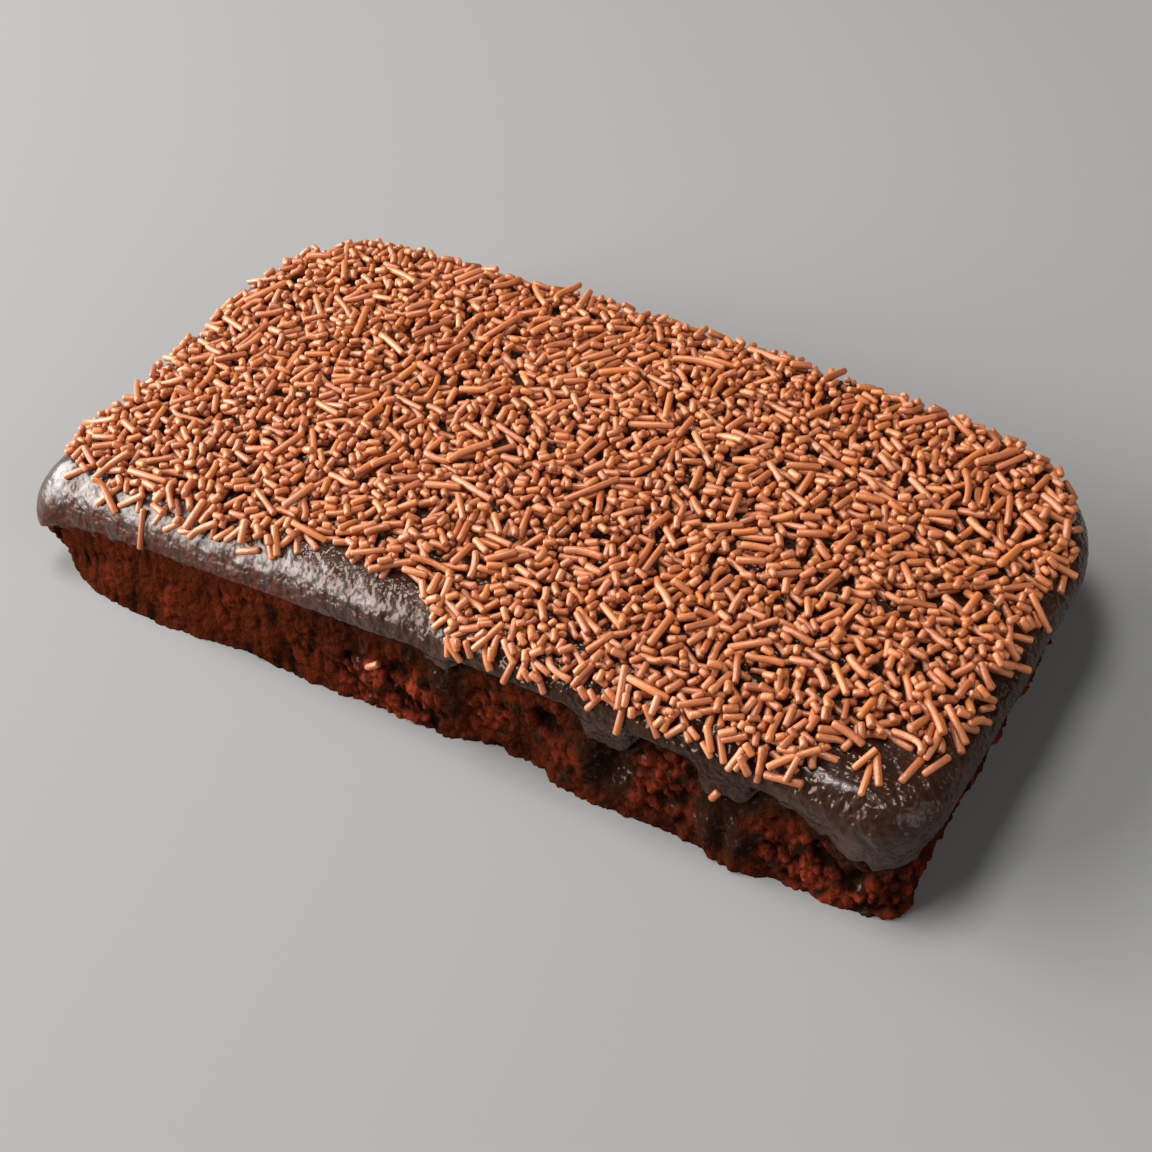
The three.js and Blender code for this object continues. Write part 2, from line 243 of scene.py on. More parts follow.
# Shape of a sprinkle: sides, roundness of its ends, swellings, cuts along the bent ones
ROD_SIDES = 8
ROD_END = 0.5
ROD_END_SEGMENTS = 2
ROD_SWELL = 0.05
ROD_SWELLINGS = 3
CURVED_CUTS = 3
HOOKED_CUTS = 5
PATH_SAMPLES = 13
# Spread of the sprinkles' thickness and length, and the bends of the curved and hooked ones
THICKNESS_SPREAD = 0.06
THICKNESS_LIMITS = (0.85, 1.2)
LENGTH_SPREAD = 0.36
CURVED_LONGER = 1.15
HOOKED_LONGER = 1.4
BIT_LENGTHS = (1.5 * MM, 2.8 * MM)
CURVES = (0.15, 0.75)
HOOKS = (0.6, 1.6)

# Mottling of the finishes: scale, lowest and highest value, and the detail where it isn't the usual one
MOTTLING = "Mottling"
MOTTLE_SPAN = (0.3, 0.7)
USUAL_DETAIL = 4
CRUMB_SPECKLE = (700, 0.2, 1.2)
CRUMB_ROUGHNESS = (300, 0.5, 0.8)
CRUMB_GLINTS = (900, -1.2, 0.8)
CRUMB_GRAIN = (1500, 0, 1)
ICING_DULLNESS = (55, 0, 1)
ICING_ROUGHNESS = (70, 0.13, 0.34)
ICING_SATIN = (300, 0.1, 0.85)
ICING_WRINKLES = (650, 0, 1, 1)
SPRINKLE_ROUGHNESS = (900, 0.30, 0.46)
SPRINKLE_GRAIN = (1800, 0, 1)
# Bumps of the finishes: depth and strength
CRUMB_BUMP = (0.25 * MM, 0.8)
ICING_BUMP = (0.4 * MM, 0.7)
SPRINKLE_BUMP = (0.06 * MM, 0.5)
# Depths over which painted shade darkens the crumb's pits, how much sleeker it is where wet, how much rougher
# thin icing is
PIT_SHADE_DEPTHS = (0.25, 0.65)
WET_SLEEKER = -0.2
THIN_ROUGHER = 0.3
# What is the same all over each finish
CRUMB_EVEN = {"Specular IOR Level": 0.0, "Coat Roughness": 0.25, "Coat IOR": 1.4}
ICING_EVEN = {
    "Specular IOR Level": 0.3,
    # The icing's warm specular tint is painted reflection colour: it stands in for warm light reflected from
    # the surroundings
    "Specular Tint": (1.0, 0.72, 0.58, 1.0),
    "Coat Roughness": 0.22,
    "Coat IOR": 1.5,
}
SPRINKLE_EVEN = {"Specular IOR Level": 0.65}
FLOOR_EVEN = {"Specular IOR Level": 0.0, "Roughness": 1.0}

# Camera: what it looks at, where it stands round and above it, its roll, distance and focal length
IMAGE_SIDE = 1152
VIEW_TARGET = Vector((11.9, -12.3, 15.0)) * MM
VIEW_AZIMUTH = math.radians(35.54)
VIEW_ELEVATION = math.radians(45.17)
VIEW_ROLL = math.radians(-6.22)
VIEW_DISTANCE = 356.8 * MM
FOCAL_PIXELS = 1923
SENSOR = 36.0
NEAREST_SEEN = 10 * MM

# Studio: lights as name, place, width, height, power; each one looks at the cake
LIGHTS = (
    ("overhead", (-0.22, 0.04, 0.90), 0.30, 0.30, 6.4),
    ("left", (-0.96, -0.43, 0.47), 1.50, 0.84, 50.0),
    ("right", (1.00, -0.20, 0.50), 0.80, 0.80, 4.5),
)
WORLD = {"Strength": 0.06, "Color": (1, 1, 1, 1)}
FLOOR_HALF = 3.0


def length_property(name, description, default):
    """A length that a user may change."""
    return FloatProperty(
        name=name, description=description, default=default, precision=5, unit="LENGTH", subtype="DISTANCE"
    )


def colour_property(name, description, default):
    """A colour that a user may change."""
    return FloatVectorProperty(
        name=name, description=description, default=default, size=3, min=0, max=1, subtype="COLOR"
    )


class CakeForm(bpy.types.PropertyGroup):
    """Sizes of the sponge and its icing."""

    length: length_property("Length", "Length over the icing", ICING_HIGH.x - ICING_LOW.x)
    edge_height: length_property("Edge height", "Height of the icing at the edge of the top", 23.5 * MM)
    crown: length_property("Crown", "Rise of the top along its length", 3.5 * MM)
    dome: length_property("Dome", "Further rise in the middle of the top", 2 * MM)
    shoulder: length_property("Shoulder", "Radius of the icing's shoulder", 5.5 * MM)
    left_shoulder: length_property("Left shoulder", "Radius of the softer shoulder on the left", 9 * MM)
    icing: length_property("Icing", "Thickness of the icing", 2.2 * MM)
    crag: length_property("Crags", "Depth of the crags in the bare crumb", 1.9 * MM)
    pore: length_property("Pores", "Depth of the crevices between the lumps of crumb", 1.2 * MM)


class SprinkleMix(bpy.types.PropertyGroup):
    """Numbers and sizes of the sprinkles."""

    straight: IntProperty(name="Straight", description="Straight sprinkles", default=2050, min=0)
    curved: IntProperty(name="Curved", description="Gently curved sprinkles", default=780, min=0)
    hooked: IntProperty(name="Hooked", description="Hooked and wavy sprinkles", default=150, min=0)
    bits: IntProperty(name="Bits", description="Short broken bits", default=1150, min=0)
    thickness: length_property("Thickness", "Usual thickness of a sprinkle", 1.34 * MM)
    length: length_property("Length", "Usual length of a sprinkle", 3.8 * MM)
    longest: length_property("Longest", "Length of the longest sprinkle", 11 * MM)
    shortest: length_property("Shortest", "Length of the shortest whole sprinkle", 2.6 * MM)
    seed: IntProperty(name="Seed", description="Seed of the scatter", default=11)


class CakeColours(bpy.types.PropertyGroup):
    """Colours of the crumb, the icing, the sprinkles and the floor, and the painted shade in the crumb's
    pits.
    """

    crumb: colour_property("Crumb", "Bare moist crumb", (0.190, 0.0270, 0.0115))
    smear: colour_property("Smear", "Crumb smeared with icing", (0.048, 0.0090, 0.0032))
    # Painted shade: the colour that the crumb darkens to in its deepest pits and pockets
    crevice_shade: colour_property("Crevice", "Depths of the crumb", (0.008, 0.0030, 0.0016))
    icing: colour_property("Icing", "Dark chocolate icing", (0.016, 0.0062, 0.0032))
    icing_dull: colour_property("Dull icing", "Icing where it has set dull", (0.034, 0.0142, 0.0076))
    sprinkle: colour_property("Sprinkle", "Milk chocolate of the sprinkles", (0.52, 0.182, 0.072))
    sprinkle_warm: colour_property("Warm sprinkle", "Sprinkles of a warmer brown", (0.54, 0.162, 0.038))
    sprinkle_dark: colour_property("Dark sprinkle", "Darkest sprinkles", (0.36, 0.100, 0.032))
    floor: colour_property("Floor", "Pale studio floor", (0.235, 0.232, 0.225))


class Steps(NamedTuple):
    """Even steps round the icing's widest outline: places and outward directions."""

    x: np.ndarray
    y: np.ndarray
    nx: np.ndarray
    ny: np.ndarray


def smoothstep(low, high, value):
    """Rises softly from 0 at the low value to 1 at the high one."""
    t = np.clip((value - low) / (high - low), 0, 1)
    return t * t * (3 - 2 * t)


def hump(away, half_width):
    """A soft-sided hump that is 1 in the middle and 0 from its half width on."""
    return 1 - smoothstep(half_width * HUMP_CREST, half_width, np.abs(away))


def noise_at(points, size):
    """Smooth noise from -1 to 1, of features of that size, at rows of points."""
    return np.array([noise.noise(Vector(point) / size) for point in points])


def outline_steps(form, count):
    """The outline counterclockwise from the front left corner, as straight stretches and quarter arcs."""
    half = form.length / 2
    corners = (
        (half - RADIUS_FRONT_RIGHT, RIM_FRONT + RADIUS_FRONT_RIGHT, RADIUS_FRONT_RIGHT),
        (half - RADIUS_BACK_RIGHT, RIM_BACK - RADIUS_BACK_RIGHT, RADIUS_BACK_RIGHT),
        (-half + RADIUS_BACK_LEFT, RIM_BACK - RADIUS_BACK_LEFT, RADIUS_BACK_LEFT),
        (-half + RADIUS_FRONT_LEFT, RIM_FRONT + RADIUS_FRONT_LEFT, RADIUS_FRONT_LEFT),
    )
    quarter = math.pi / 2
    start = np.array((-half + RADIUS_FRONT_LEFT, RIM_FRONT))
    stretches = []
    for turn, (cx, cy, radius) in enumerate(corners):
        angle = (turn - 1) * quarter
        end = np.array((cx + radius * math.cos(angle), cy + radius * math.sin(angle)))
        stretches.append((float(np.linalg.norm(end - start)), start, end - start, angle, 0, 0))
        stretches.append((radius * quarter, (cx, cy), (0, 0), angle, quarter, radius))
        start = np.array((cx - radius * math.sin(angle), cy + radius * math.cos(angle)))
    perimeter = sum(stretch[0] for stretch in stretches)
    walked = np.arange(count) * perimeter / count
    x, y, angle_out = np.empty((3, count))
    begun = 0
    for length, base, run, angle, bend, radius in stretches:
        here = (walked >= begun) & (walked < begun + length)
        share = (walked[here] - begun) / length
        angle_out[here] = angle + share * bend
        x[here] = base[0] + share * run[0] + radius * np.cos(angle_out[here])
        y[here] = base[1] + share * run[1] + radius * np.sin(angle_out[here])
        begun += length
    nx, ny = np.cos(angle_out), np.sin(angle_out)
    y += BACK_BOW * np.maximum(0, ny) * (1 - (x / half) ** 2)
    return Steps(x, y, nx, ny)


def by_wall(steps, front, right, back, left):
    """A value given for each of the four walls, blended round the corners."""
    long_walls = np.where(steps.ny < 0, front, back)
    short_walls = np.where(steps.nx < 0, left, right)
    return long_walls * steps.ny**2 + short_walls * steps.nx**2


def facing_front(steps):
    """1 where the outline faces straight to the front, 0 on the other walls."""
    return np.maximum(0, -steps.ny)


def icing_runs(steps):
    """Each run of icing: how squarely the steps face its wall, its middle, half width and lower end."""
    for runs, side in ((FRONT_RUNS, -1), (BACK_RUNS, 1)):
        facing = np.maximum(0, side * steps.ny) ** 2
        for run in runs:
            yield facing, *run


def top_height(form, x, y):
    """Height of the crowned top of the icing."""
    along = 1 - (x / (form.length / 2)) ** 2
    across = 1 - (y / ((RIM_BACK - RIM_FRONT) / 2)) ** 2
    return form.edge_height + form.crown * along + form.dome * along * across


def foot_offset(steps):
    """How far the foot of the wall stands out from the widest outline."""
    front = facing_front(steps)
    corner = (2 * steps.nx * steps.ny) ** 2 * front
    push = np.where(steps.nx < 0, FOOT_CORNER_LEFT, FOOT_CORNER_RIGHT)
    offset = by_wall(steps, *FOOT_WALLS) + push * corner
    for middle, half_width, out in FOOT_SWELLS:
        offset = offset + out * front**2 * hump(steps.x - middle, half_width)
    return offset


def slumped_corner(steps):
    """1 in the middle of the front left corner, 0 away from it."""
    return (2 * steps.nx * steps.ny) ** 2 * (steps.nx < 0) * (steps.ny < 0)


def corner_bulge(steps):
    """How far the slumped corner stands out from its rounded outline."""
    return CORNER_BULGE * slumped_corner(steps)


def shoulder_reach(form, steps):
    """How far in from the widest outline the shoulder begins."""
    tight = smoothstep(*SHOULDER_TIGHTENS, steps.x)
    front = form.left_shoulder + (form.shoulder - form.left_shoulder) * tight
    return by_wall(steps, front, form.shoulder, form.shoulder, form.left_shoulder)


def shoulder_drop(form, steps):
    """How far down the shoulder reaches."""
    return shoulder_reach(form, steps) + CORNER_SLUMP * slumped_corner(steps)


def rim_height(form, steps):
    """Height where the icing is widest, below its shoulder."""
    reach = shoulder_reach(form, steps)
    top = top_height(form, steps.x - steps.nx * reach, steps.y - steps.ny * reach)
    return top - shoulder_drop(form, steps)


def wiped_share(steps):
    """1 on the left, where the icing is wiped thin down the wall, 0 on the right and at the back."""
    return (1 - smoothstep(*WIPED_BEFORE, steps.x)) * (1 - np.maximum(0, steps.ny))


def rim_icing(form, steps):
    """Thickness of the icing where it is widest."""
    return form.icing + (WIPED_ICING - form.icing) * wiped_share(steps)


def wall_offset(form, steps, z):
    """The bare wall leans from its foot to the inside of the icing's rim, with the slumped corner's bulge."""
    foot = foot_offset(steps)
    share = z / rim_height(form, steps)
    return foot + (-rim_icing(form, steps) - foot) * share + corner_bulge(steps) * smoothstep(0, 1, share)


def lip_height(form, steps):
    """Height of the icing's lower edge, with its wandering line and its runs."""
    front = np.interp(steps.x, *FRONT_LIP.T)
    points = outset(steps, 0, 0)
    away = 1 - facing_front(steps)
    lip = by_wall(steps, front, *OTHER_LIPS)
    lip = lip + LIP_WANDER * away * noise_at(points, LIP_WANDER_SIZE)
    for facing, middle, half_width, reach in icing_runs(steps):
        share = RUN_SKIN * facing * hump(steps.x - middle, half_width)
        lip = lip + (reach - lip) * share
    for depth, size in LIP_RIPPLES:
        lip = lip + depth * noise_at(points, size)
    return np.clip(lip, LIP_LOWEST, rim_height(form, steps) - LIP_BELOW_RIM)


def outset(steps, offset, z):
    """A ring of points, moved out from the widest outline, at a height."""
    heights = np.broadcast_to(z, steps.x.shape)
    return np.stack((steps.x + steps.nx * offset, steps.y + steps.ny * offset, heights), axis=1)


def top_ring(form, steps, share, depth):
    """A ring of the top surface, or of one that lies a given depth below it."""
    reach = shoulder_reach(form, steps)
    x = (steps.x - steps.nx * reach) * share
    y = (steps.y - steps.ny * reach) * share
    return np.stack((x, y, top_height(form, x, y) - depth), axis=1)


def add_object(name, data):
    """An object for a mesh, a light or a camera, in the scene."""
    added = bpy.data.objects.new(name, data)
    bpy.context.scene.collection.objects.link(added)
    return added


def skin_of_rings(name, rings, top, bottom):
    """A closed mesh: a circle drawn out ring by ring, closed by a fan at each end, moved to loops of points.

    Returns the object and the ring and step that each vertex has.
    """
    ring_count, step_count = rings.shape[:2]
    bm = bmesh.new()
    bmesh.ops.create_circle(bm, segments=step_count, radius=1)
    loops = [list(bm.edges)]
    for _ in range(ring_count - 1):
        drawn = bmesh.ops.extrude_edge_only(bm, edges=loops[-1])["geom"]
        bmesh.ops.translate(bm, verts=[v for v in drawn if isinstance(v, bmesh.types.BMVert)], vec=(0, 0, -1))
        loops.append([e for e in drawn if isinstance(e, bmesh.types.BMEdge) and e.is_boundary])
    ring_of, step_of = [], []
    for vert in bm.verts:
        ring = round(-vert.co.z)
        step = round(math.atan2(vert.co.y, vert.co.x) / math.tau * step_count) % step_count
        vert.co = rings[ring, step]
        ring_of.append(ring)
        step_of.append(step)
    for loop, pole, ring in ((loops[0], top, 0), (loops[-1], bottom, ring_count - 1)):
        cap = bmesh.ops.contextual_create(bm, geom=loop)["faces"]
        bmesh.ops.poke(bm, faces=cap)["verts"][0].co = pole
        ring_of.append(ring)
        step_of.append(0)
    bmesh.ops.recalc_face_normals(bm, faces=bm.faces)
    mesh = bpy.data.meshes.new(name)
    bm.to_mesh(mesh)
    bm.free()
    mesh.shade_smooth()
    return add_object(name, mesh), np.array(ring_of), np.array(step_of)


def set_attribute(mesh, name, values):
    """A value for each vertex, which a material reads by name."""
    attribute = mesh.attributes.new(name, "FLOAT", "POINT")
    attribute.data.foreach_set("value", np.asarray(values, dtype=np.float32))


def crag_depth(form, point):
    """How deep the open crumb is eaten away: broad crags, crevices between lumps, holes and a grain."""
    depth = form.crag * (noise.noise(point / CRAG_SIZE) + 1) / 2
    depth += GRAIN_DEPTH * noise.noise(point / GRAIN_SIZE)
    for size, share in LUMPS:
        near, second = noise.voronoi(point / size)[0][:2]
        depth += form.pore * share * max(0.0, 1 - (second - near) / CREVICE)
    hole = noise.voronoi(point / HOLE_SIZE)[0][0]
    return depth + form.pore * max(0.0, 1 - hole / HOLE_REACH)


def away_from_icing(steps, lip, z):
    """Distance over the wall from the icing's lower edge, 0 under the icing."""
    pitch = np.hypot(steps.x - np.roll(steps.x, 1), steps.y - np.roll(steps.y, 1))
    away = np.maximum(0, lip - z)
    for shift in range(1, NEAR_STEPS):
        for edge in (np.roll(lip, shift), np.roll(lip, -shift)):
            away = np.minimum(away, np.hypot(shift * pitch, np.maximum(0, edge - z)))
    return np.where(z > lip, 0, away)


def bare_share(steps, z, patchy):
    """How free of smeared icing the wall is: the patches of the front, and chance patches elsewhere."""
    chance = smoothstep(*BARE_CHANCE, patchy)
    front = facing_front(steps) ** 2
    patch = np.zeros_like(z)
    for along, up, half_width, half_height in BARE_PATCHES:
        far = ((steps.x - along) / half_width) ** 2 + ((z - up) / half_height) ** 2
        patch = np.maximum(patch, 1 - smoothstep(*PATCH_EDGE, far - patchy))
    return front * np.maximum(patch, SMEARED_SPOTS * chance) + (1 - front) * chance


def wet_share(steps, z, away, patchy):
    """Where dark icing clings to the crumb: below the icing's edge, down its runs and in drops."""
    blotch = noise_at(outset(steps, 0, z), WET_NOISE_SIZE)
    wet = 1 - smoothstep(*WET_BELOW, away + WET_RAGGED * blotch)
    for facing, middle, half_width, reach in icing_runs(steps):
        width = half_width * (1 + WET_RUN_RAGGED * blotch)
        run = hump(steps.x - middle + WET_RAGGED * patchy, width) * smoothstep(-reach, reach, z - reach)
        wet = np.maximum(wet, facing * run)
    wet = np.maximum(wet, smoothstep(*WET_DROPS, blotch))
    return wet * (1 - wiped_share(steps))


def streak_share(steps, z):
    """Dark streaks down the wiped wall."""
    points = outset(steps, 0, z) * STREAK_STRETCH
    return STREAK_DARK * wiped_share(steps) * smoothstep(*STREAKS, noise_at(points, STREAK_SIZE))


def wall_relief(steps, z):
    """How far the front wall stands out at its lumps and in at its pockets."""
    facing = facing_front(steps) ** 2
    out = np.zeros_like(z)
    for along, up, half_width, half_height, depth in WALL_RELIEF:
        far = np.hypot((steps.x - along) / half_width, (z - up) / half_height)
        out = out + depth * facing * (1 - smoothstep(0, 1, far))
    return out


def bake_crumb(form):
    """The sponge: smooth under its icing, open crumb on the bare walls, flat underneath."""
    steps = outline_steps(form, CRUMB_STEPS)
    lip = lip_height(form, steps)
    rim = rim_height(form, steps)
    smeared = SMEARED_RELIEF + (WIPED_RELIEF - SMEARED_RELIEF) * wiped_share(steps)
    top = (0, 0, top_height(form, 0, 0) - form.icing)
    rings = [top_ring(form, steps, share, form.icing) for share in CRUMB_TOP_SHARES]
    shares = {name: [np.zeros(CRUMB_STEPS)] * len(rings) for name in ("bare", "wet", "dark")}
    for level in np.linspace(1, 0, CRUMB_WALL_RINGS):
        z = level * rim
        wall = wall_offset(form, steps, z)
        away = away_from_icing(steps, lip, z)
        patchy = noise_at(outset(steps, 0, z), BARE_NOISE_SIZE)
        open_crumb = bare_share(steps, z, patchy)
        clinging = wet_share(steps, z, away, patchy)
        shown = (1 - smoothstep(0, COVER_FADE, z - lip)) * (1 - WET_SMOOTHER * clinging)
        eaten = np.array([crag_depth(form, Vector(point)) for point in outset(steps, wall, z)])
        eaten = eaten * (smeared + (1 - smeared) * open_crumb)
        relief = smoothstep(0, CRAG_FADE, away) * wall_relief(steps, z)
        pit = shown * eaten + (1 - shown) * COVERED_SLIMMER - np.minimum(0, relief)
        rings.append(outset(steps, wall - pit + np.maximum(0, relief), z))
        shares["bare"].append(open_crumb)
        shares["wet"].append(clinging)
        # Painted shade: the deeper the crumb's pits and pockets, the darker it is coloured; the real dark
        # streaks of the wiped wall add to this
        shares["dark"].append(pit / (form.crag + form.pore) + streak_share(steps, z))
    rings.append(outset(steps, wall - pit - UNDER_EDGE, 0))
    piece, ring_of, step_of = skin_of_rings("crumb", np.array(rings), top, (0, 0, 0))
    for name, values in shares.items():
        set_attribute(piece.data, name, np.array(values + values[-1:])[ring_of, step_of])
    return piece


def icing_waves(points):
    """Broad waves and ripples of the poured icing."""
    return sum(depth * noise_at(points, size) for depth, size in ICING_WAVES)


def wrinkled_share(steps):
    """How wrinkled the icing's skin is: less on the smooth left end."""
    return 1 - SMOOTH_END * np.clip(-steps.nx, 0, 1)


def icing_wrinkles(steps, points):
    """Sharp little folds of the icing's skin."""
    return WRINKLE_DEPTH * wrinkled_share(steps) * (WRINKLE_MEAN - np.abs(noise_at(points, WRINKLE_SIZE)))


def run_share(steps):
    """1 in the middle of a run of icing, 0 away from the runs."""
    share = np.zeros_like(steps.x)
    for facing, middle, half_width, _ in icing_runs(steps):
        share = np.maximum(share, facing * hump(steps.x - middle, half_width))
    return share


def satin_share(rings):
    """Where the icing has set to a satin skin."""
    away = np.hypot(rings[..., 0] - SATIN_CORNER[0], rings[..., 1] - SATIN_CORNER[1])
    left = 1 - smoothstep(*SATIN_BEFORE, rings[..., 0])
    return np.maximum(left, SATIN_CORNER_SHARE * hump(away, SATIN_CORNER_RADIUS))


def pour_icing(form):
    """The icing: a skin over the top, its soft shoulder, walls that thin out to an uneven rounded edge."""
    steps = outline_steps(form, ICING_STEPS)
    lip, rim = lip_height(form, steps), rim_height(form, steps)
    reach, drop = shoulder_reach(form, steps), shoulder_drop(form, steps)
    wiped, bulge, at_rim = wiped_share(steps), corner_bulge(steps), rim_icing(form, steps)
    thick = np.maximum(smoothstep(*THICK_AFTER, steps.x), run_share(steps))
    edge = LIP_SUNK + (LIP_THICK - LIP_SUNK) * thick
    thinning = (wiped + (1 - wiped) * EDGE_SMEAR) * (1 - thick)
    none = np.zeros(ICING_STEPS)
    rings, thin = [], []
    for share in np.linspace(0, 1, ICING_TOP_RINGS + 1)[1:]:
        ring = top_ring(form, steps, share, 0)
        ring[:, 2] += icing_waves(ring)
        rings.append(ring)
        thin.append(none)
    for turn in np.linspace(0, math.pi / 2, ICING_SHOULDER_RINGS + 1)[1:]:
        z = rim + drop * math.cos(turn)
        out = -reach * (1 - math.sin(turn)) + bulge * math.sin(turn) ** 2
        points = outset(steps, out, z)
        wave = icing_waves(points) + icing_wrinkles(steps, points) * math.sin(turn)
        rings.append(outset(steps, out + wave * math.sin(turn), z + wave * math.cos(turn)))
        streaked = math.sin(turn) + WIPED_RAGGED * noise_at(points, WIPED_RAGGED_SIZE)
        thin.append(wiped * smoothstep(*WIPED_FROM, streaked))
    below_shoulder = thin[-1]
    for share in np.linspace(0, 1, ICING_WALL_RINGS + 1)[1:]:
        z = rim + (lip + LIP_ROUND / 2 - rim) * share
        thickness = at_rim + (edge - at_rim) * smoothstep(0, 1, share)
        out = wall_offset(form, steps, z) + thickness
        points = outset(steps, out, z)
        wave = icing_waves(points) * (1 - share) + icing_wrinkles(steps, points) * (1 - share**2)
        rings.append(outset(steps, out + wave, z))
        thin.append(np.maximum(below_shoulder, thinning * smoothstep(0, THINS_BY, share)))
    for turn in np.linspace(0, math.pi, ICING_LIP_RINGS + 1)[1:]:
        z = lip + LIP_ROUND / 2 * (1 - math.sin(turn))
        out = wall_offset(form, steps, z) + edge - LIP_ROUND / 2 * (1 - math.cos(turn))
        rings.append(outset(steps, out, z))
        thin.append(thinning)
    under = form.icing + ICING_TUCK
    rings.append(outset(steps, -under, rim))
    rings += [top_ring(form, steps, share, under) for share in ICING_UNDER_SHARES]
    thin += [none] * (1 + len(ICING_UNDER_SHARES))
    rings, thin = np.array(rings), np.array(thin)
    top = (0, 0, top_height(form, 0, 0))
    bottom = (0, 0, top[2] - form.icing - ICING_TUCK)
    piece, ring_of, step_of = skin_of_rings("icing_skin", rings, top, bottom)
    satin = satin_share(rings) * (1 - thin)
    set_attribute(piece.data, "thin", thin[ring_of, step_of])
    set_attribute(piece.data, "wrinkled", wrinkled_share(steps)[step_of])
    set_attribute(piece.data, "satin", satin[ring_of, step_of])
    return piece


def depth_inside(form, x, y):
    """Distance in from the widest outline, negative outside it."""
    half_x, half_y = form.length / 2, (RIM_BACK - RIM_FRONT) / 2
    middle_y = (RIM_BACK + RIM_FRONT) / 2
    bow = BACK_BOW * np.clip(1 - (x / half_x) ** 2, 0, 1)
    y = np.where(y > 0, y * RIM_BACK / (RIM_BACK + bow), y)
    front = np.where(x < 0, RADIUS_FRONT_LEFT, RADIUS_FRONT_RIGHT)
    back = np.where(x < 0, RADIUS_BACK_LEFT, RADIUS_BACK_RIGHT)
    radius = np.where(y < middle_y, front, back)
    qx = np.abs(x) - half_x + radius
    qy = np.abs(y - middle_y) - half_y + radius
    outside = np.hypot(np.maximum(qx, 0), np.maximum(qy, 0))
    return radius - outside - np.minimum(np.maximum(qx, qy), 0)


def icing_height(form, x, y):
    """Height of the icing over a place, down its shoulder and a little over the edge, EMPTY beyond it."""
    inside = depth_inside(form, x, y)
    slumped = smoothstep(*SLUMP_BETWEEN, -x)
    in_front = smoothstep(-FRONT_BLEND, 0, -y) * (1 - smoothstep(*SHOULDER_TIGHTENS, x))
    shoulder = form.shoulder + (form.left_shoulder - form.shoulder) * np.maximum(slumped, in_front)
    lean = np.clip(1 - inside / shoulder, 0, STEEPEST_LEAN)
    z = top_height(form, x, y) - shoulder * (1 - np.sqrt(1 - lean**2))
    z += np.minimum(0, inside) * OVER_EDGE_SLOPE
    return np.where(inside > -OVER_EDGE, z, EMPTY)


class Bed:
    """A height map of the icing and of the sprinkles that lie on it so far."""

    def __init__(self, form):
        half = form.length / 2 + BED_MARGIN
        self.low = np.array((-half, RIM_FRONT - BED_MARGIN))
        high = np.array((half, RIM_BACK + BACK_BOW + BED_MARGIN))
        self.count = np.ceil((high - self.low) / BED_PITCH).astype(int)
        xs = self.low[0] + (np.arange(self.count[0]) + 0.5) * BED_PITCH
        ys = self.low[1] + (np.arange(self.count[1]) + 0.5) * BED_PITCH
        grid_x, grid_y = np.meshgrid(xs, ys, indexing="ij")
        self.bare = icing_height(form, grid_x, grid_y) - SUNK
        self.heights = self.bare.copy()
        covered = np.where(self.bare > 0, self.bare, np.nan)
        self.lean_x, self.lean_y = np.nan_to_num(np.gradient(covered, BED_PITCH))

    def cells(self, x, y):
        """Rows and columns of the map at places."""
        i = np.clip(((x - self.low[0]) / BED_PITCH).astype(int), 0, self.count[0] - 1)
        j = np.clip(((y - self.low[1]) / BED_PITCH).astype(int), 0, self.count[1] - 1)
        return i, j

    def rest(self, x, y, along, radius):
        """Height and slope at which rods come to rest, for rows of points along each rod's middle line."""
        run = np.gradient(x, axis=1), np.gradient(y, axis=1)
        size = np.hypot(*run)
        side_x, side_y = -run[1] / size, run[0] / size
        touch = np.full(x.shape, EMPTY)
        for across in TOUCH_ACROSS:
            i, j = self.cells(x + side_x * across * radius, y + side_y * across * radius)
            touch = np.maximum(touch, self.heights[i, j] + CONTACT * radius * math.sqrt(1 - across**2))
        left, right = along < 0, along > 0
        u_left, u_right = along[left][None, :, None], along[right][None, None, :]
        h_left, h_right = touch[:, left][:, :, None], touch[:, right][:, None, :]
        height = (h_left * u_right - h_right * u_left) / (u_right - u_left)
        slope = (h_right - h_left) / (u_right - u_left)
        flat = height.reshape(len(x), -1)
        best = flat.argmax(axis=1)
        rows = np.arange(len(x))
        height, slope = flat[rows, best], slope.reshape(len(x), -1)[rows, best]
        crest = touch[:, len(along) // 2]
        return np.maximum(height, crest), slope

    def lay(self, x, y, z, radius):
        """Adds a rod that has come to rest, from the points along its middle line."""
        fine = np.linspace(0, len(x) - 1, LAID_FINER * len(x))
        sample = np.arange(len(x))
        x, y, z = (np.interp(fine, sample, values) for values in (x, y, z))
        run = np.gradient(x), np.gradient(y)
        size = np.hypot(*run) + TINY
        for across in LAID_ACROSS:
            i, j = self.cells(x - run[1] / size * across * radius, y + run[0] / size * across * radius)
            np.maximum.at(self.heights, (i, j), z + CONTACT * radius * math.sqrt(1 - across**2))


class Rods:
    """Sprinkles of one kind: sizes, bends and, once they have landed, places."""

    def __init__(self, rng, lengths, thickness, bends=0.0, hooks=0.0):
        count = len(lengths)
        self.length = lengths
        self.radius = thickness / 2 * rng.normal(1, THICKNESS_SPREAD, count).clip(*THICKNESS_LIMITS)
        self.tone = rng.random(count)
        self.hue = rng.random(count)
        self.phase = rng.random(count) * math.tau
        share = np.linspace(-1, 1, PATH_SAMPLES)
        angle = np.outer(np.broadcast_to(bends, count), share / 2)
        angle += np.outer(np.broadcast_to(hooks, count), np.maximum(0, share) ** 2)
        step = self.length[:, None] / (PATH_SAMPLES - 1)
        along = np.cumsum(np.cos(angle), axis=1) * step
        aside = np.cumsum(np.sin(angle), axis=1) * step
        self.along = along - along[:, [PATH_SAMPLES // 2]]
        self.aside = aside - aside.mean(axis=1, keepdims=True)
        self.path = np.zeros((count, PATH_SAMPLES, 3))


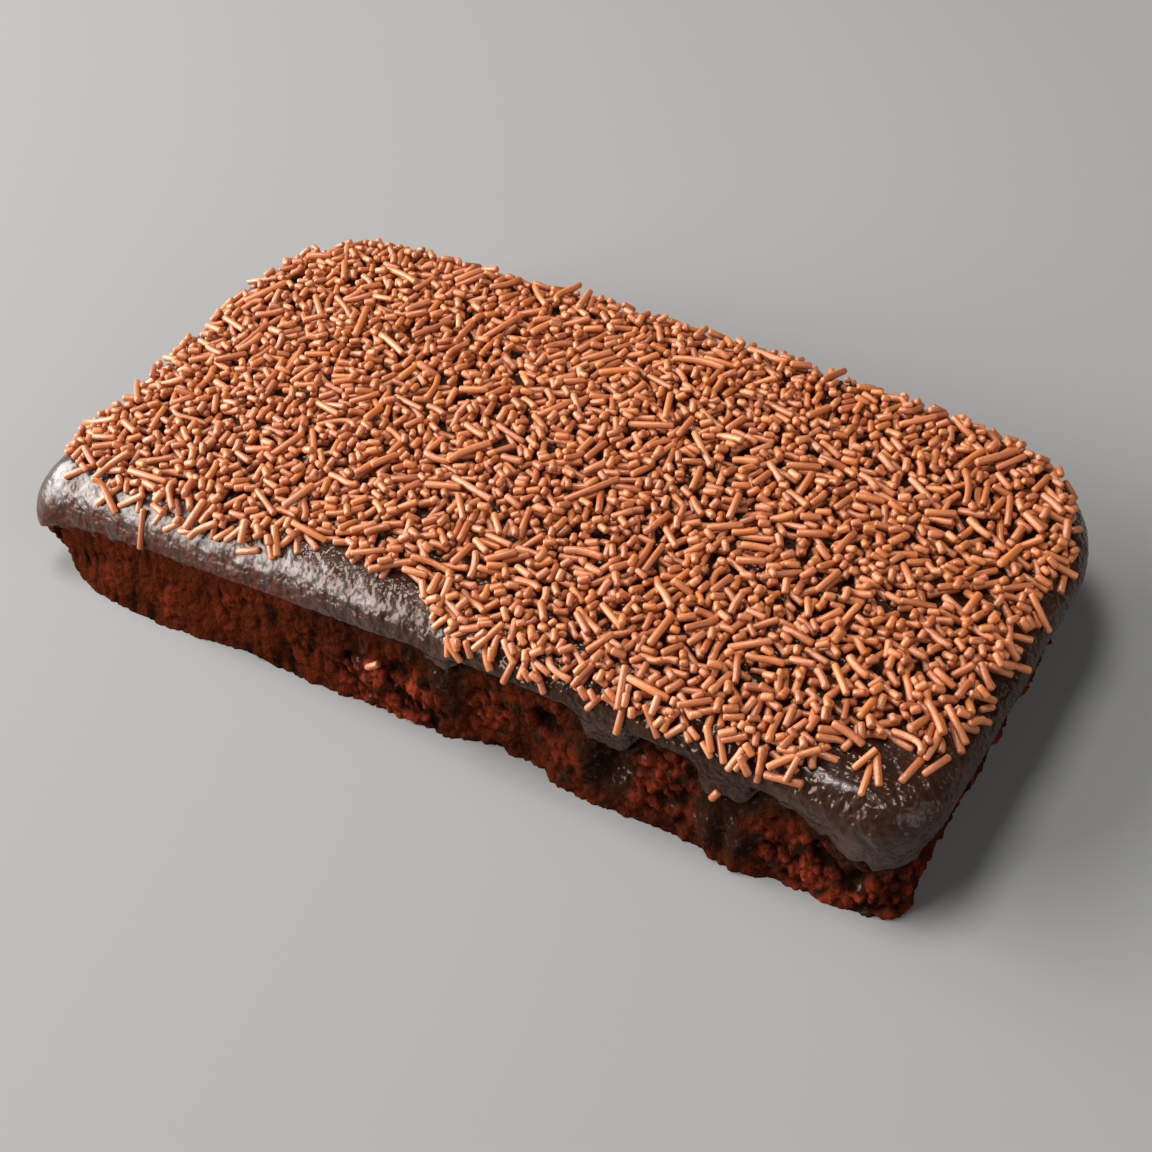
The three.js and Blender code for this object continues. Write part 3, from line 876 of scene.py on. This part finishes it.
def field_density(form, x, y):
    """How readily a sprinkle lands at a place."""
    points = np.stack((x, y, np.zeros_like(x)), axis=1)
    ragged = EDGE_RAGGED * noise_at(points, EDGE_RAGGED_SIZE)
    front_thin = np.interp(x, *FIELD_THIN.T)
    along_front = smoothstep(0, front_thin, y - np.interp(x, *FIELD_FRONT.T) + ragged)
    reach = EDGE_REACH + (LEFT_REACH - EDGE_REACH) * smoothstep(*SLUMP_BETWEEN, -x)
    reach = reach + RIGHT_REACH * smoothstep(*SLUMP_BETWEEN, x)
    elsewhere = smoothstep(0, EDGE_THIN, depth_inside(form, x, y) - reach + ragged)
    sparse, dense = CLUMP_SHARES
    clumps = noise_at(points, CLUMP_SIZE) - RIGHT_SPARSER * smoothstep(*RIGHT_SPARSE, x)
    clumped = sparse + (dense - sparse) * smoothstep(*CLUMPS, clumps)
    return clumped * np.where(y < FRONT_FIELD, along_front, elsewhere)


def landing_field(form, rng, count):
    """Places where sprinkles may land, as many near each other as the field is dense."""
    x = rng.uniform(-1, 1, count) * form.length / 2
    y = rng.uniform(RIM_FRONT, RIM_BACK + BACK_BOW, count)
    keep = rng.random(count) < field_density(form, x, y)
    return x[keep], y[keep]


def land(rods, i, bed, place_x, place_y, turn):
    """Lets a rod fall: of the tries given, keeps the one that lies lowest, as points of its middle line."""
    along, aside, radius = rods.along[i], rods.aside[i], rods.radius[i]
    ahead_x, ahead_y = np.cos(turn), np.sin(turn)
    x = place_x[:, None] + along * ahead_x[:, None] - aside * ahead_y[:, None]
    y = place_y[:, None] + along * ahead_y[:, None] + aside * ahead_x[:, None]
    height, slope = bed.rest(x, y, along, radius)
    middle = bed.cells(place_x, place_y)
    lean = bed.lean_x[middle] * ahead_x + bed.lean_y[middle] * ahead_y
    side_lean = bed.lean_y[middle] * ahead_x - bed.lean_x[middle] * ahead_y
    lift = height - bed.bare[middle] - radius * np.hypot(1, side_lean)
    tilt = np.abs(slope - lean)
    overhang = (bed.bare[bed.cells(x, y)] < 0).mean(axis=1)
    cost = lift + (TILT_COST * tilt + (tilt > STEEPEST) + OVERHANG_COST * overhang) * rods.length[i]
    best = int(cost.argmin())
    level = 1 / math.hypot(1, slope[best])
    x = place_x[best] + (x[best] - place_x[best]) * level
    y = place_y[best] + (y[best] - place_y[best]) * level
    z = height[best] + slope[best] * along * level
    rods.path[i] = np.stack((x, y, z), axis=1)
    bed.lay(x, y, z, radius)


def front_surface(form, along, up):
    """Place across of the front's surface, on the wall or up on the shoulder of the icing."""
    steps = Steps(along, np.full_like(along, RIM_FRONT), np.zeros_like(along), -np.ones_like(along))
    rim = rim_height(form, steps)
    climb = np.clip((up - rim) / shoulder_drop(form, steps), 0, 1)
    shoulder = -shoulder_reach(form, steps) * (1 - np.sqrt(1 - climb**2))
    return RIM_FRONT - np.where(up > rim, shoulder, wall_offset(form, steps, up))


def cling(rods, i, form, along, up, lean):
    """Sticks a rod to the front wall, at a place along and up it."""
    x = along + rods.along[i] * math.cos(lean)
    z = up + rods.along[i] * math.sin(lean)
    y = front_surface(form, x, z) - rods.radius[i] / 2
    rods.path[i] = np.stack((x, y, z), axis=1)


def lengthwise(bm):
    """The edges that run along the body of a rod."""
    return [edge for edge in bm.edges if abs(edge.verts[0].co.z - edge.verts[1].co.z) > 1]


def rod_template(body_cuts):
    """A rod of radius 1 and half length 1, plus rounded ends: vertices, and faces as loops of vertices."""
    bm = bmesh.new()
    bmesh.ops.create_cone(
        bm, cap_ends=True, segments=ROD_SIDES, radius1=1, radius2=1, depth=2 * (1 + ROD_END)
    )
    body_edges = lengthwise(bm)
    end_edges = [edge for edge in bm.edges if edge not in body_edges]
    bmesh.ops.bevel(
        bm, geom=end_edges, offset=ROD_END, offset_type="OFFSET", segments=ROD_END_SEGMENTS, profile=0.5,
        affect="EDGES", material=-1,
    )
    if body_cuts:
        bmesh.ops.subdivide_edges(bm, edges=lengthwise(bm), cuts=body_cuts, use_grid_fill=True)
    bm.verts.index_update()
    verts = np.array([vert.co[:] for vert in bm.verts])
    faces = [[vert.index for vert in face.verts] for face in bm.faces]
    bm.free()
    return verts, faces


def rod_mesh(name, rods, body_cuts=0):
    """All the sprinkles of one kind as one mesh, each the template bent along its own middle line."""
    verts, faces = rod_template(body_cuts)
    body = np.clip(verts[:, 2], -1, 1)
    ends = verts[:, 2] - body
    half_body = 1 - 2 * ROD_END * rods.radius / rods.length
    share = body[None, :] * half_body[:, None]
    sample = (share + 1) / 2 * (PATH_SAMPLES - 1)
    low = np.clip(sample.astype(int), 0, PATH_SAMPLES - 2)
    blend = (sample - low)[..., None]
    rows = np.arange(len(rods.length))[:, None]
    middle = rods.path[rows, low] * (1 - blend) + rods.path[rows, low + 1] * blend
    run = np.gradient(rods.path, axis=1)
    run = run[rows, low] * (1 - blend) + run[rows, low + 1] * blend
    run /= np.linalg.norm(run, axis=2, keepdims=True)
    side = np.stack((-run[..., 1], run[..., 0], np.zeros_like(share)), axis=2)
    side /= np.linalg.norm(side, axis=2, keepdims=True)
    up = np.cross(run, side)
    swell = 1 + ROD_SWELL * np.sin(ROD_SWELLINGS * share + rods.phase[:, None])
    radius = (rods.radius[:, None] * swell)[..., None]
    places = middle + run * (ends[None, :, None] * rods.radius[:, None, None])
    places += radius * (side * verts[None, :, 0, None] + up * verts[None, :, 1, None])
    mesh = bpy.data.meshes.new(name)
    all_faces = [[v + i * len(verts) for v in face] for i in range(len(rods.length)) for face in faces]
    mesh.from_pydata(places.reshape(-1, 3).tolist(), [], all_faces)
    mesh.shade_smooth()
    set_attribute(mesh, "tone", np.repeat(rods.tone, len(verts)))
    set_attribute(mesh, "hue", np.repeat(rods.hue, len(verts)))
    return add_object(name, mesh)


def sprinkle_lengths(rng, mix, count, longer=1.0):
    """Chance lengths round the usual one, within the shortest and the longest."""
    return (mix.length * longer * rng.lognormal(0, LENGTH_SPREAD, count)).clip(mix.shortest, mix.longest)


def either_way(rng, span, count):
    """Chance bends, to the left or to the right."""
    return rng.uniform(*span, count) * rng.choice((-1, 1), count)


def strew_sprinkles(form, mix):
    """The layer of sprinkles: straight, curved and hooked ones and short bits, whole ones falling first."""
    rng = np.random.default_rng(mix.seed)
    bed = Bed(form)
    field_x, field_y = landing_field(form, rng, FIELD_DRAWS)
    set_lengths = np.concatenate((TOP_STRAYS[:, -1], WALL_STRAYS[:, -1]))
    straight_lengths = np.concatenate((set_lengths, sprinkle_lengths(rng, mix, mix.straight)))
    straight = Rods(rng, straight_lengths, mix.thickness)
    curved_lengths = sprinkle_lengths(rng, mix, mix.curved, CURVED_LONGER)
    curved = Rods(rng, curved_lengths, mix.thickness, either_way(rng, CURVES, mix.curved))
    hooked_lengths = sprinkle_lengths(rng, mix, mix.hooked, HOOKED_LONGER)
    hooked_bends = either_way(rng, CURVES, mix.hooked)
    hooked = Rods(rng, hooked_lengths, mix.thickness, hooked_bends, either_way(rng, HOOKS, mix.hooked))
    bits = Rods(rng, rng.uniform(*BIT_LENGTHS, mix.bits), mix.thickness)
    for i, (x, y, turn, _) in enumerate(TOP_STRAYS):
        land(straight, i, bed, np.array([x]), np.array([y]), np.array([turn]))
    for i, (along, up, lean, _) in enumerate(WALL_STRAYS, len(TOP_STRAYS)):
        cling(straight, i, form, along, up, lean)
    order = [(straight, i) for i in range(len(set_lengths), len(straight_lengths))]
    order += [(rods, i) for rods in (curved, hooked) for i in range(len(rods.length))]
    rng.shuffle(order)
    for rods, i in order + [(bits, i) for i in range(mix.bits)]:
        pick = rng.integers(len(field_x), size=LANDING_TRIES)
        land(rods, i, bed, field_x[pick], field_y[pick], rng.uniform(0, math.tau, LANDING_TRIES))
    return (
        rod_mesh("sprinkles_straight", straight),
        rod_mesh("sprinkles_curved", curved, CURVED_CUTS),
        rod_mesh("sprinkles_hooked", hooked, HOOKED_CUTS),
        rod_mesh("sprinkles_bits", bits),
    )


def mottle_group():
    """Soft mottling from low to high, which each material takes at its own scale."""
    if MOTTLING in bpy.data.node_groups:
        return bpy.data.node_groups[MOTTLING]
    group = bpy.data.node_groups.new(MOTTLING, "ShaderNodeTree")
    group.interface.new_socket("Vector", in_out="INPUT", socket_type="NodeSocketVector")
    for socket in ("Scale", "Detail", "Low", "High"):
        group.interface.new_socket(socket, in_out="INPUT", socket_type="NodeSocketFloat")
    group.interface.new_socket("Value", in_out="OUTPUT", socket_type="NodeSocketFloat")
    inputs = group.nodes.new("NodeGroupInput").outputs
    outputs = group.nodes.new("NodeGroupOutput").inputs
    texture = group.nodes.new("ShaderNodeTexNoise")
    span = group.nodes.new("ShaderNodeMapRange")
    span.inputs["From Min"].default_value = MOTTLE_SPAN[0]
    span.inputs["From Max"].default_value = MOTTLE_SPAN[1]
    for socket in ("Vector", "Scale", "Detail"):
        group.links.new(inputs[socket], texture.inputs[socket])
    group.links.new(texture.outputs["Fac"], span.inputs["Value"])
    group.links.new(inputs["Low"], span.inputs["To Min"])
    group.links.new(inputs["High"], span.inputs["To Max"])
    group.links.new(span.outputs["Result"], outputs["Value"])
    return group


class Finish:
    """A material under way: its nodes, its shader and the piece's own coordinates."""

    def __init__(self, name):
        self.material = bpy.data.materials.new(name)
        self.material.use_nodes = True
        self.tree = self.material.node_tree
        self.shader = self.tree.nodes["Principled BSDF"]
        self.coordinates = self.tree.nodes.new("ShaderNodeTexCoord").outputs["Object"]

    def feed(self, node, inputs):
        """Gives a node's inputs their values, or links them to other nodes."""
        for name, value in inputs.items():
            if isinstance(value, bpy.types.NodeSocket):
                self.tree.links.new(value, node.inputs[name])
            else:
                node.inputs[name].default_value = value

    def add(self, kind, inputs, **settings):
        """Adds a node with its settings and inputs, and returns its outputs."""
        node = self.tree.nodes.new(kind)
        for name, value in settings.items():
            setattr(node, name, value)
        self.feed(node, inputs)
        return node.outputs

    def mottle(self, scale, low, high, detail=USUAL_DETAIL):
        inputs = {"Vector": self.coordinates, "Scale": scale, "Detail": detail, "Low": low, "High": high}
        return self.add("ShaderNodeGroup", inputs, node_tree=mottle_group())["Value"]

    def attribute(self, name):
        return self.add("ShaderNodeAttribute", {}, attribute_name=name)["Fac"]

    def mix(self, share, first, second):
        """Blends two colours, given as values or as other nodes' colours."""
        inputs = {"Factor": share}
        for name, colour in (("A", first), ("B", second)):
            inputs[name] = colour if isinstance(colour, bpy.types.NodeSocket) else (*colour, 1)
        return self.add("ShaderNodeMix", inputs, data_type="RGBA")["Result"]

    def times(self, first, second):
        return self.add("ShaderNodeMath", {0: first, 1: second}, operation="MULTIPLY")["Value"]

    def shift(self, base, share, change):
        """A value that changes by a given amount as a share goes from 0 to 1."""
        return self.add("ShaderNodeMath", {0: share, 1: change, 2: base}, operation="MULTIPLY_ADD")["Value"]

    def bump(self, height, depth, strength):
        inputs = {"Height": height, "Distance": depth, "Strength": strength}
        self.feed(self.shader, {"Normal": self.add("ShaderNodeBump", inputs)["Normal"]})


def crumb_finish(colours):
    """Moist red-brown crumb: brown where icing is smeared over it, near-black and glossy where it clings,
    darkened in its pits and pockets by painted shade.
    """
    finish = Finish("moist crumb")
    bare = finish.times(finish.attribute("bare"), finish.mottle(*CRUMB_SPECKLE))
    colour = finish.mix(bare, colours.smear, colours.crumb)
    # Painted shade: the colour turns towards the crevice shade colour as pits and pockets deepen, and along
    # the dark streaks
    low, high = PIT_SHADE_DEPTHS
    span = {"Value": finish.attribute("dark"), "From Min": low, "From Max": high}
    colour = finish.mix(finish.add("ShaderNodeMapRange", span)["Result"], colour, colours.crevice_shade)
    wet = finish.attribute("wet")
    finish.feed(finish.shader, {
        "Base Color": finish.mix(wet, colour, colours.icing),
        "Roughness": finish.shift(finish.mottle(*CRUMB_ROUGHNESS), wet, WET_SLEEKER),
        "Coat Weight": finish.times(wet, finish.mottle(*CRUMB_GLINTS)),
        **CRUMB_EVEN,
    })
    finish.bump(finish.mottle(*CRUMB_GRAIN), *CRUMB_BUMP)
    return finish.material


def icing_finish(colours):
    """Near-black set chocolate: glossy or dull in places, finely wrinkled, brown where it thins out."""
    finish = Finish("set icing")
    colour = finish.mix(finish.mottle(*ICING_DULLNESS), colours.icing, colours.icing_dull)
    thin = finish.attribute("thin")
    finish.feed(finish.shader, {
        "Base Color": finish.mix(thin, colour, colours.smear),
        "Roughness": finish.shift(finish.mottle(*ICING_ROUGHNESS), thin, THIN_ROUGHER),
        "Coat Weight": finish.times(finish.attribute("satin"), finish.mottle(*ICING_SATIN)),
        **ICING_EVEN,
    })
    wrinkles = finish.times(finish.mottle(*ICING_WRINKLES), finish.attribute("wrinkled"))
    finish.bump(wrinkles, *ICING_BUMP)
    return finish.material


def sprinkle_finish(colours):
    """Satin milk chocolate, a little lighter or darker from one sprinkle to the next."""
    finish = Finish("milk chocolate")
    light = finish.mix(finish.attribute("hue"), colours.sprinkle, colours.sprinkle_warm)
    finish.feed(finish.shader, {
        "Base Color": finish.mix(finish.attribute("tone"), colours.sprinkle_dark, light),
        "Roughness": finish.mottle(*SPRINKLE_ROUGHNESS),
        **SPRINKLE_EVEN,
    })
    finish.bump(finish.mottle(*SPRINKLE_GRAIN), *SPRINKLE_BUMP)
    return finish.material


def dress(piece, material, node):
    """Gives a piece its finish and its place in the frame."""
    piece.data.materials.append(material)
    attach(piece, BODY)
    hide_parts(node)


def set_camera():
    """Stands the camera in front of the cake, to the right of it and above it."""
    level = math.cos(VIEW_ELEVATION)
    back = Vector((math.sin(VIEW_AZIMUTH) * level, -math.cos(VIEW_AZIMUTH) * level, math.sin(VIEW_ELEVATION)))
    right = Vector((0, 0, 1)).cross(back).normalized()
    up = back.cross(right)
    rolled_right = right * math.cos(VIEW_ROLL) + up * math.sin(VIEW_ROLL)
    rolled_up = up * math.cos(VIEW_ROLL) - right * math.sin(VIEW_ROLL)
    turn = Matrix((rolled_right, rolled_up, back)).transposed()
    data = bpy.data.cameras.new("camera")
    data.sensor_width = SENSOR
    data.lens = SENSOR * FOCAL_PIXELS / IMAGE_SIDE
    data.clip_start = NEAREST_SEEN
    camera = add_object("camera", data)
    camera.matrix_world = Matrix.Translation(VIEW_TARGET + back * VIEW_DISTANCE) @ turn.to_4x4()
    bpy.context.scene.camera = camera


def set_lights():
    """Soft lights round the cake, and a dim even light from everywhere."""
    for name, place, width, height, power in LIGHTS:
        data = bpy.data.lights.new(name, "AREA")
        data.shape = "RECTANGLE"
        data.size = width
        data.size_y = height
        data.energy = power
        light = add_object(name, data)
        light.location = place
        light.rotation_euler = (VIEW_TARGET - Vector(place)).to_track_quat("-Z", "Y").to_euler()
    world = bpy.data.worlds.new("studio")
    world.use_nodes = True
    for name, value in WORLD.items():
        world.node_tree.nodes["Background"].inputs[name].default_value = value
    bpy.context.scene.world = world
    bpy.context.scene.view_settings.view_transform = "Standard"


def lay_floor(colours):
    """A plain pale floor under the cake."""
    bm = bmesh.new()
    bmesh.ops.create_grid(bm, x_segments=1, y_segments=1, size=FLOOR_HALF)
    mesh = bpy.data.meshes.new("floor")
    bm.to_mesh(mesh)
    bm.free()
    floor = add_object("floor", mesh)
    finish = Finish("pale floor")
    finish.feed(finish.shader, {"Base Color": (*colours.floor, 1), **FLOOR_EVEN})
    mesh.materials.append(finish.material)


class CAKE_OT_set_stage(bpy.types.Operator):
    """Lay the floor and set the lights and the camera"""

    bl_idname = "cake.set_stage"
    bl_label = "Set stage"

    def execute(self, context):
        lay_floor(context.scene.cake_colours)
        set_lights()
        set_camera()
        return {"FINISHED"}


class CAKE_OT_bake_crumb(bpy.types.Operator):
    """Bake the sponge with its open crumb"""

    bl_idname = "cake.bake_crumb"
    bl_label = "Bake crumb"

    def execute(self, context):
        piece = bake_crumb(context.scene.cake_form)
        dress(piece, crumb_finish(context.scene.cake_colours), "cake")
        return {"FINISHED"}


class CAKE_OT_pour_icing(bpy.types.Operator):
    """Pour the icing over the sponge"""

    bl_idname = "cake.pour_icing"
    bl_label = "Pour icing"

    def execute(self, context):
        piece = pour_icing(context.scene.cake_form)
        dress(piece, icing_finish(context.scene.cake_colours), "icing")
        return {"FINISHED"}


class CAKE_OT_strew_sprinkles(bpy.types.Operator):
    """Strew the sprinkles over the icing"""

    bl_idname = "cake.strew_sprinkles"
    bl_label = "Strew sprinkles"

    def execute(self, context):
        material = sprinkle_finish(context.scene.cake_colours)
        for piece in strew_sprinkles(context.scene.cake_form, context.scene.sprinkle_mix):
            dress(piece, material, "icing")
        return {"FINISHED"}


OPERATORS = (CAKE_OT_set_stage, CAKE_OT_bake_crumb, CAKE_OT_pour_icing, CAKE_OT_strew_sprinkles)


class CAKE_PT_panel(bpy.types.Panel):
    """Settings and steps of the cake"""

    bl_label = "Chocolate cake"
    bl_space_type = "VIEW_3D"
    bl_region_type = "UI"
    bl_category = "Cake"

    def draw(self, context):
        for group in (context.scene.cake_form, context.scene.sprinkle_mix, context.scene.cake_colours):
            box = self.layout.box()
            for name in group.__annotations__:
                box.prop(group, name)
        for operator in OPERATORS:
            self.layout.operator(operator.bl_idname)


CLASSES = (CakeForm, SprinkleMix, CakeColours, *OPERATORS, CAKE_PT_panel)


def register():
    for cls in CLASSES:
        bpy.utils.register_class(cls)
    bpy.types.Scene.cake_form = PointerProperty(type=CakeForm)
    bpy.types.Scene.sprinkle_mix = PointerProperty(type=SprinkleMix)
    bpy.types.Scene.cake_colours = PointerProperty(type=CakeColours)


def unregister():
    del bpy.types.Scene.cake_colours
    del bpy.types.Scene.sprinkle_mix
    del bpy.types.Scene.cake_form
    for cls in reversed(CLASSES):
        bpy.utils.unregister_class(cls)


def main():
    register()
    bpy.ops.cake.set_stage()
    bpy.ops.cake.bake_crumb()
    bpy.ops.cake.pour_icing()
    bpy.ops.cake.strew_sprinkles()


if __name__ == "__main__":
    main()
